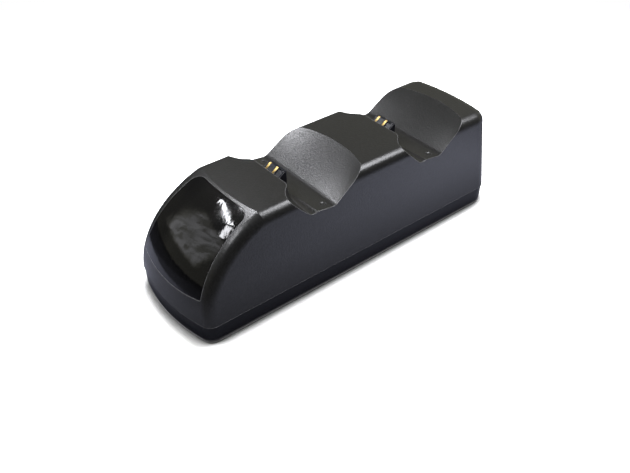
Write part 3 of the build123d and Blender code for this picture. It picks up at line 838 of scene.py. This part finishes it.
@dataclass
class Softbox:
    """A rectangular lamp that faces a point on the dock.

    Attributes:
        name: Name of the lamp.
        place: Where it hangs.
        aim: The point that it faces.
        long_way: Direction of its long side.
        size: Length of its long and short sides.
        radiance: Brightness of its face, where 1 is a white wall.
        colour: Colour of its light.
    """

    name: str
    place: Point
    aim: Point
    long_way: Point
    size: tuple[float, float]
    radiance: float
    colour: Colour = (0.95, 0.955, 1.0)

    def build(self) -> None:
        """Hang the lamp."""
        lamp = bpy.data.lights.new(self.name, "AREA")
        lamp.shape = "RECTANGLE"
        lamp.size, lamp.size_y = self.size
        lamp.energy = 4.0 * self.radiance * self.size[0] * self.size[1]
        lamp.color = self.colour
        holder = bpy.data.objects.new(self.name, lamp)
        back = (Vector(self.place) - Vector(self.aim)).normalized()
        side = Vector(self.long_way)
        side = (side - side.dot(back) * back).normalized()
        turn = Matrix((side, back.cross(side), back)).transposed().to_4x4()
        holder.matrix_world = Matrix.Translation(self.place) @ turn
        holder.visible_camera = False
        bpy.context.scene.collection.objects.link(holder)
        LOG.info("lamp %s", self.name)


@dataclass
class Camera:
    """Camera at the photograph's viewpoint.

    Attributes:
        place: Where it stands.
        azimuth: Direction that it looks from, from -Y towards +X.
        elevation: Angle that it looks down by.
        roll: Turn about its line of sight.
        focal: Focal length in pixels of a picture of `picture_wide` pixels.
        picture_wide: Width of the picture in pixels.
        sensor: Width of its sensor, in Blender's millimetres.
        clip: Nearest and farthest distance that it sees.
    """

    place: Point = (260.517 * MM, -220.708 * MM, 269.142 * MM)
    azimuth: float = radians(50.669)
    elevation: float = radians(38.27)
    roll: float = radians(0.326)
    focal: float = 760.118
    picture_wide: float = 630.0
    sensor: float = 36.0
    clip: tuple[float, float] = (0.01, 50.0)

    def build(self) -> None:
        """Stand the camera and make it the scene's."""
        data = bpy.data.cameras.new("view")
        data.sensor_width = self.sensor
        data.lens = self.focal * self.sensor / self.picture_wide
        data.clip_start, data.clip_end = self.clip
        level = cos(self.elevation)
        back = Vector((sin(self.azimuth) * level, -cos(self.azimuth) * level, sin(self.elevation)))
        right = Vector((cos(self.azimuth), sin(self.azimuth), 0.0))
        up = back.cross(right)
        tilted_right = cos(self.roll) * right + sin(self.roll) * up
        tilted_up = cos(self.roll) * up - sin(self.roll) * right
        holder = bpy.data.objects.new("view", data)
        turn = Matrix((tilted_right, tilted_up, back)).transposed().to_4x4()
        holder.matrix_world = Matrix.Translation(self.place) @ turn
        bpy.context.scene.collection.objects.link(holder)
        bpy.context.scene.camera = holder


def heading(azimuth: float, elevation: float) -> Point:
    """Return the direction at two angles in degrees, from -Y towards +X and upwards."""
    level = cos(radians(elevation))
    return (sin(radians(azimuth)) * level, -cos(radians(azimuth)) * level, sin(radians(elevation)))


@dataclass(frozen=True)
class Fade:
    """A smooth change of brightness along a direction.

    Attributes:
        way: The direction that a place or a line of sight is measured along.
        start: Measure where the change starts.
        stop: Measure where it ends.
        before: Brightness up to the start.
        after: Brightness from the end on.
    """

    way: Point
    start: float
    stop: float
    before: float
    after: float

    def brightness(self, graph: Graph, vector: Any) -> bpy.types.NodeSocket:
        """Return the brightness at a place or along a line of sight."""
        return graph.span(graph.dot(vector, self.way), self.start, self.stop, self.before, self.after)


@dataclass(frozen=True)
class ReflectorCard:
    """A creased reflector card at the front left, which the window mirrors.

    Attributes:
        azimuth: Where it hangs, in degrees from -Y towards +X.
        elevation: How high it hangs, in degrees.
        wide: Shares of a line of sight across the card between which its edge fades.
        high: The same upwards.
        ahead: Shares of a line of sight towards the card between which it comes into view.
        crease: Stretch of its creases.
        crease_turn: Turn of its creases.
        crease_scale: Scale of its creases.
        crease_range: Values of the creases that give the darkest and the brightest tone.
        tones: The darkest and the brightest tone.
    """

    azimuth: float = -45.0
    elevation: float = 27.0
    wide: tuple[float, float] = (0.20, 0.30)
    high: tuple[float, float] = (0.22, 0.29)
    ahead: tuple[float, float] = (0.5, 0.6)
    crease: Point = (2.0, 9.0, 3.0)
    crease_turn: Point = (0.5, 0.3, 0.6)
    crease_scale: float = 2.2
    crease_range: tuple[float, float] = (0.35, 0.7)
    tones: tuple[float, float] = (0.4, 1.5)

    def brightness(self, graph: Graph, sight: Any) -> bpy.types.NodeSocket:
        """Return its brightness along a line of sight, 0 beside it."""
        aside = heading(self.azimuth + 90.0, 0.0)
        upright = heading(self.azimuth + 180.0, 90.0 - self.elevation)
        middle = heading(self.azimuth, self.elevation)
        wide = graph.span(graph.math("ABSOLUTE", graph.dot(sight, aside)), *self.wide, 1.0, 0.0)
        high = graph.span(graph.math("ABSOLUTE", graph.dot(sight, upright)), *self.high, 1.0, 0.0)
        ahead = graph.span(graph.dot(sight, middle), *self.ahead, 0.0, 1.0)
        creased = graph.stretch(sight, self.crease, self.crease_turn)
        creases = graph.noise(creased, self.crease_scale, detail=5.0, warp=1.0)
        tone = graph.span(creases, *self.crease_range, *self.tones)
        return graph.product(ahead, tone, wide, high)


# Lamps that the window, its surround, the cradles and the rounded edges mirror
LAMPS = (
    Softbox(
        "strip_left",
        place=(-0.386, -0.208, 0.543),
        aim=(0.01, -0.08, 0.05),
        long_way=(0.105, -0.179, 0.03),
        size=(0.20, 0.024),
        radiance=30.0,
    ),
    Softbox(
        "strip_front",
        place=(-0.316, -0.37, 0.527),
        aim=(0.01, -0.09, 0.04),
        long_way=(0.025, -0.142, -0.068),
        size=(0.13, 0.02),
        radiance=18.0,
    ),
    Softbox(
        "strip_nose",
        place=(-0.091, -0.362, 0.567),
        aim=(0.02, -0.08, 0.05),
        long_way=(0.927, -0.375, 0.0),
        size=(0.28, 0.05),
        radiance=30.0,
    ),
    Softbox(
        "box_left",
        place=(-0.09, -0.062, 0.223),
        aim=(0.0, -0.03, 0.057),
        long_way=(0.0, 1.0, 0.0),
        size=(0.036, 0.03),
        radiance=42.0,
    ),
    Softbox(
        "box_back",
        place=(0.12, 0.44, 0.75),
        aim=(0.02, 0.0, 0.05),
        long_way=(0.337, 0.10, -0.16),
        size=(0.48, 0.22),
        radiance=18.0,
    ),
    Softbox(
        "box_rear",
        place=(-0.19, 0.035, 0.287),
        aim=(0.0, 0.075, 0.057),
        long_way=(0.0, 1.0, 0.0),
        size=(0.04, 0.04),
        radiance=5.0,
    ),
)

# Floor in reflections: it ends before the nose, then falls off on the camera's side, beside the tray,
# far to the left and behind; the fall beside the tray is the dock's shade painted into the sheet
SHEET_FADES = (
    Fade((0.24, 1.0, 0.0), -184.0 * MM, -172.0 * MM, 0.3, 1.15),
    Fade((-0.8, 0.6, 0.0), -200.0 * MM, 30.0 * MM, 0.08, 0.88),
    Fade((1.0, 0.0, 0.0), 45.0 * MM, 85.0 * MM, 0.45, 1.0),
    Fade((1.0, 0.0, 0.0), -150.0 * MM, -105.0 * MM, 0.3, 1.0),
    Fade((0.0, 1.0, 0.0), 140.0 * MM, 190.0 * MM, 1.0, 0.5),
)

# Room in reflections: darker overhead, to the front, on the camera's side and far to the left
ROOM_FADES = (
    Fade((0.0, 0.0, 1.0), sin(radians(22)), sin(radians(38)), 0.42, 0.14),
    Fade(heading(20.0, 0.0), -0.05, 0.45, 1.0, 0.45),
    Fade(heading(75.0, 0.0), 0.1, 0.6, 1.0, 0.05),
    Fade(heading(-90.0, 0.0), 0.74, 0.84, 1.0, 0.3),
)


@dataclass
class Studio:
    """Floor, surroundings, lamps and camera.

    Attributes:
        floor_half: Half the side of the floor.
        floor_tone: Brightness of the floor's colour for matt surfaces.
        floor_white: Brightness that it has for the camera, which keeps only the nearest shadow.
        floor_seen: Distance from the dock beyond which the camera sees the white backdrop instead.
        tray_gap: Longest way from the tray's underside to the floor.
        contact: Reach of the shade painted into the floor's colour where the dock meets the floor.
        contact_samples: Samples of that shade.
        contact_open: How open the floor is where the shade is full and where it ends.
        contact_tones: Brightness of the floor at these two, which sets the depth of the painted shade.
        sheet_tint: Colour of the floor in reflections.
        room_tint: Colour of the room's light.
        card_tint: Colour of the reflector card and of the light from below.
        fill: Strength of the room's light on matt surfaces.
        under: Light from below, which only the underside meets.
        card: The reflector card.
    """

    floor_half: float = 6.0
    floor_tone: float = 0.80
    floor_white: float = 1.8
    floor_seen: float = 0.30
    tray_gap: float = 3.0 * MM
    contact: float = 9.0 * MM
    contact_samples: int = 8
    contact_open: tuple[float, float] = (0.4, 1.0)
    contact_tones: tuple[float, float] = (0.1, 1.0)
    sheet_tint: Colour = (0.90, 0.93, 1.15)
    room_tint: Colour = (1.0, 0.985, 0.78)
    card_tint: Colour = (0.98, 0.98, 1.0)
    fill: float = 0.22
    under: Fade = Fade((0.0, 0.0, 1.0), -0.25, -0.1, 1.1, 0.0)
    card: ReflectorCard = ReflectorCard()

    def build(self) -> None:
        """Set up the studio."""
        bpy.context.scene.view_settings.view_transform = "Standard"
        self._floor()
        self._surroundings()
        for lamp in LAMPS:
            lamp.build()
        Camera().build()

    def _floor_colour(self, graph: Graph) -> bpy.types.NodeSocket:
        """Colour of the floor: white to the camera, pale to matt surfaces, a fading sheet in reflections,
        with a shade painted in near the dock for the camera and in reflections.

        Args:
            graph: Graph of the floor's material.

        Returns:
            The colour.
        """
        place = graph.add("ShaderNodeTexCoord").outputs["Object"]
        sheet = graph.product(*[fade.brightness(graph, place) for fade in SHEET_FADES])
        # Painted contact shade: an AO node darkens the floor's colour close to the dock
        near = graph.add("ShaderNodeAmbientOcclusion", samples=self.contact_samples)
        near.inputs["Distance"].default_value = self.contact
        shade = graph.span(near.outputs["AO"], *self.contact_open, *self.contact_tones)
        dark = rgba((0.0, 0.0, 0.0))
        cool = graph.blend(graph.math("MULTIPLY", sheet, shade), dark, rgba(self.sheet_tint))
        white = graph.math("MULTIPLY", shade, self.floor_white)
        path = graph.add("ShaderNodeLightPath").outputs
        plain = graph.blend(path["Is Glossy Ray"], rgba((self.floor_tone,) * 3), cool)
        direct = graph.math("MAXIMUM", path["Is Camera Ray"], path["Is Transmission Ray"])
        return graph.blend(direct, plain, white)

    def _floor_gaps(self, graph: Graph) -> bpy.types.NodeSocket:
        """Where the floor is clear: from below, far from the dock, and close under the tray for its light.

        Args:
            graph: Graph of the floor's material.

        Returns:
            A mask that is 1 where the floor is clear.
        """
        path = graph.add("ShaderNodeLightPath").outputs
        reach = graph.add("ShaderNodeVectorMath", operation="LENGTH")
        graph.feed(reach.inputs[0], graph.add("ShaderNodeTexCoord").outputs["Object"])
        far = graph.span(reach.outputs["Value"], self.floor_seen, 1.5 * self.floor_seen, 0.0, 1.0)
        far = graph.math("MULTIPLY", far, path["Is Camera Ray"])
        close = graph.math("LESS_THAN", path["Ray Length"], self.tray_gap)
        close = graph.math("MULTIPLY", close, graph.math("SUBTRACT", 1.0, path["Is Camera Ray"]))
        below = graph.add("ShaderNodeNewGeometry").outputs["Backfacing"]
        return graph.math("MAXIMUM", below, graph.math("MAXIMUM", far, close))

    def _floor(self) -> None:
        """Lay the floor: pale, and clear from below so that the underside can be looked at."""
        half = self.floor_half
        mesh = bpy.data.meshes.new("floor")
        corners = [(-half, -half, 0.0), (half, -half, 0.0), (half, half, 0.0), (-half, half, 0.0)]
        mesh.from_pydata(corners, [], [(0, 1, 2, 3)])
        floor = bpy.data.objects.new("floor", mesh)
        bpy.context.scene.collection.objects.link(floor)
        material = bpy.data.materials.new("floor_paper")
        material.use_nodes = True
        graph = Graph(material.node_tree)
        graph.tree.nodes.clear()
        paper = graph.add("ShaderNodeBsdfDiffuse")
        graph.feed(paper.inputs["Color"], self._floor_colour(graph))
        clear = graph.add("ShaderNodeBsdfTransparent")
        side = graph.add("ShaderNodeMixShader")
        graph.feed(side.inputs[0], self._floor_gaps(graph))
        graph.feed(side.inputs[1], paper.outputs[0])
        graph.feed(side.inputs[2], clear.outputs[0])
        graph.feed(graph.add("ShaderNodeOutputMaterial").inputs["Surface"], side.outputs[0])
        mesh.materials.append(material)

    def _surroundings(self) -> None:
        """Light the room: white to the camera, fading in reflections, soft fill for matt surfaces."""
        world = bpy.data.worlds.new("studio")
        bpy.context.scene.world = world
        world.use_nodes = True
        graph = Graph(world.node_tree)
        backdrop = next(n for n in graph.tree.nodes if n.type == "BACKGROUND")
        sight = graph.add("ShaderNodeTexCoord").outputs["Generated"]
        path = graph.add("ShaderNodeLightPath").outputs
        room = graph.product(*[fade.brightness(graph, sight) for fade in ROOM_FADES])
        card = self.card.brightness(graph, sight)
        under = self.under.brightness(graph, sight)
        sheen = graph.math("SUBTRACT", graph.math("ADD", room, card), self.fill)
        extra = graph.math("MULTIPLY", path["Is Glossy Ray"], sheen)
        light = graph.math("ADD", graph.math("ADD", extra, self.fill), under)
        lit = graph.math("SUBTRACT", 1.0, path["Is Camera Ray"])
        strength = graph.math("MULTIPLY_ADD", light, lit, path["Is Camera Ray"])
        graph.feed(backdrop.inputs["Strength"], strength)
        tint = graph.blend(graph.math("ADD", card, under), rgba(self.room_tint), rgba(self.card_tint))
        white = rgba((1.0, 1.0, 1.0))
        graph.feed(backdrop.inputs["Color"], graph.blend(path["Is Camera Ray"], tint, white))


def main() -> None:
    """Build the studio and dress the dock, one sub-assembly at a time."""
    logging.basicConfig(level=logging.INFO, format="%(name)s: %(message)s")
    for part in (Studio(), Housing(), ContactSet(), ChargeBoard(), Fastenings()):
        LOG.info("building %s", type(part).__name__)
        part.build()


if __name__ == "__main__":
    main()
